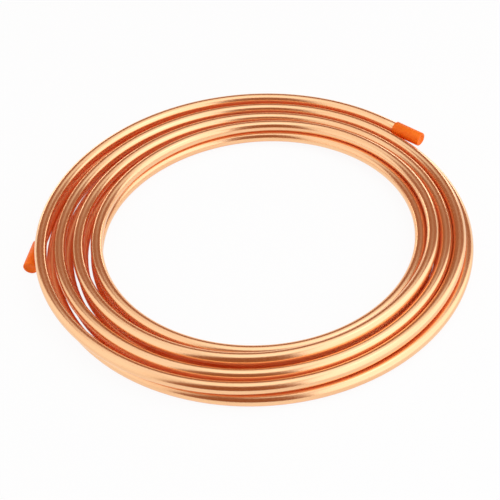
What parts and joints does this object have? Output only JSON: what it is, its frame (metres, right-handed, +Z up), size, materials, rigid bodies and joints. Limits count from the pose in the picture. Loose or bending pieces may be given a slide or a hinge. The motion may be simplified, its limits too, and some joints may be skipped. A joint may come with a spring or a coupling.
{
  "type": "copper tube coil",
  "caption": "Flat double-layer coil of soft copper tube with a push-on plastic cap on each end, raw stock for refrigeration and gas lines.",
  "frame": {"origin": "on the floor, at the axis that the turns are wound about", "axes": "+Z up along the winding axis; -X is the side where the turns spread, +X the side where they lie close"},
  "size_m": [0.3476, 0.3454, 0.024],
  "materials": {
    "copper": "bright drawn copper",
    "cap_plastic": "soft orange vinyl"
  },
  "bodies": {
    "root": {"copper_tube": "copper", "upper_end_cap": "cap_plastic", "lower_end_cap": "cap_plastic"}
  },
  "joints": []
}
